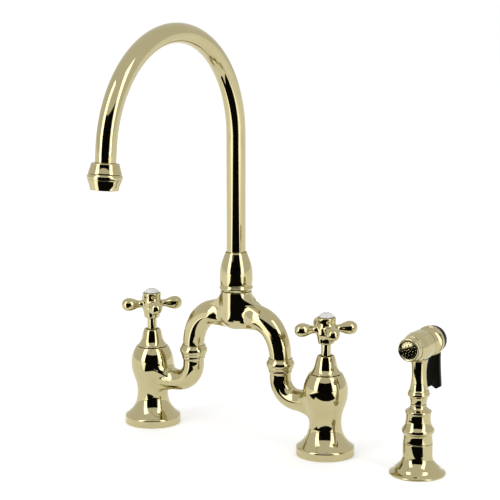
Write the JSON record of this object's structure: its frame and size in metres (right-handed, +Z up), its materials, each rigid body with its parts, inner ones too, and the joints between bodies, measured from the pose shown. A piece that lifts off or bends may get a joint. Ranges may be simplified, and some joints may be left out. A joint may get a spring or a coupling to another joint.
{
  "type": "bridge kitchen faucet",
  "caption": "Deck-mounted bridge kitchen faucet with cross handles, a swivelling gooseneck spout and a pull-out side sprayer, in polished brass.",
  "frame": {"origin": "on the deck surface, midway between the two valve holes", "axes": "+X along the valves towards the side sprayer, the spout reaches towards -Y, +Z up"},
  "size_m": [0.3596, 0.2525, 0.4692],
  "materials": {
    "polished_brass": "mirror-polished pale yellow brass",
    "plain_brass": "as machined",
    "steel": "plain stainless steel",
    "rubber": "smooth matt black",
    "nylon": "off-white, slightly satin",
    "ceramic": "ground flat",
    "porcelain": "white glaze",
    "black_plastic": "black, semi-gloss"
  },
  "bodies": {
    "base": {"bridge_body": "polished_brass", "spout_bonnet": "polished_brass", "glide_ring": "nylon", "diverter_housing": "nylon", "left_valve_body": "polished_brass", "left_bonnet_cone": "polished_brass", "left_cartridge_body": "plain_brass", "left_cartridge_seal": "rubber", "left_fixed_disc": "ceramic", "left_union_ring": "polished_brass", "left_union_seal": "rubber", "left_mounting_shank": "plain_brass", "left_deck_gasket": "rubber", "left_deck_washer": "steel", "left_lock_nut": "plain_brass", "right_valve_body": "polished_brass", "right_bonnet_cone": "polished_brass", "right_cartridge_body": "plain_brass", "right_cartridge_seal": "rubber", "right_fixed_disc": "ceramic", "right_union_ring": "polished_brass", "right_union_seal": "rubber", "right_mounting_shank": "plain_brass", "right_deck_gasket": "rubber", "right_deck_washer": "steel", "right_lock_nut": "plain_brass", "sprayer_holder": "polished_brass", "holder_liner": "nylon", "holder_gasket": "rubber", "holder_washer": "steel", "holder_nut": "plain_brass"},
    "spout": {"spout_tube": "polished_brass", "spout_shank": "plain_brass", "lower_o_ring": "rubber", "upper_o_ring": "rubber", "outlet_collar": "polished_brass", "aerator_housing": "polished_brass", "aerator_screen": "nylon", "aerator_washer": "rubber"},
    "diverter": {"diverter_poppet": "plain_brass"},
    "left_handle": {"left_cross_handle": "polished_brass", "left_valve_stem": "polished_brass", "left_turning_disc": "ceramic", "left_handle_screw": "steel", "left_index_button": "porcelain"},
    "right_handle": {"right_cross_handle": "polished_brass", "right_valve_stem": "polished_brass", "right_turning_disc": "ceramic", "right_handle_screw": "steel", "right_index_button": "porcelain"},
    "hose_end": {"hose_coupling": "plain_brass"},
    "sprayer": {"sprayer_grip": "polished_brass", "sprayer_head": "polished_brass", "spray_face": "polished_brass", "rear_cap": "black_plastic", "lever_pin": "steel", "plunger_spring": "steel"},
    "lever": {"squeeze_lever": "black_plastic"},
    "plunger": {"sprayer_plunger": "plain_brass"}
  },
  "joints": [
    {"name": "spout_swivel", "type": "hinge", "parent": "base", "child": "spout", "pos_m": [0, 0, 0.16], "axis": [0, 0, 1], "continuous": true},
    {"name": "diverter_lift", "type": "slide", "parent": "base", "child": "diverter", "axis": [0, 0, 1], "range_m": [0, 0.003]},
    {"name": "left_handle_turn", "type": "hinge", "parent": "base", "child": "left_handle", "pos_m": [-0.1016, 0, 0.1234], "axis": [0, 0, 1], "range_deg": [0, 90]},
    {"name": "right_handle_turn", "type": "hinge", "parent": "base", "child": "right_handle", "pos_m": [0.1016, 0, 0.1234], "axis": [0, 0, 1], "range_deg": [-90, 0]},
    {"name": "sprayer_lift", "type": "slide", "parent": "base", "child": "hose_end", "axis": [0, 0, 1], "range_m": [0, 0.06]},
    {"name": "sprayer_turn", "type": "hinge", "parent": "hose_end", "child": "sprayer", "pos_m": [0.2032, -0.005, 0.02], "axis": [0, 0, 1], "continuous": true},
    {"name": "lever_squeeze", "type": "hinge", "parent": "sprayer", "child": "lever", "pos_m": [0.2032, 0.0227, 0.1282], "axis": [-1, 0, 0], "range_deg": [0, 6], "stiffness_Nm_per_rad": 1, "springref_deg": -17.19},
    {"name": "plunger_slide", "type": "slide", "parent": "sprayer", "child": "plunger", "axis": [0, -1, 0], "range_m": [0, 0.0006], "deforming": ["plunger_spring"]}
  ],
  "couplings": [
    {"joint": "plunger_slide", "follows": "lever_squeeze", "m_per_rad": 0.0057296}
  ]
}
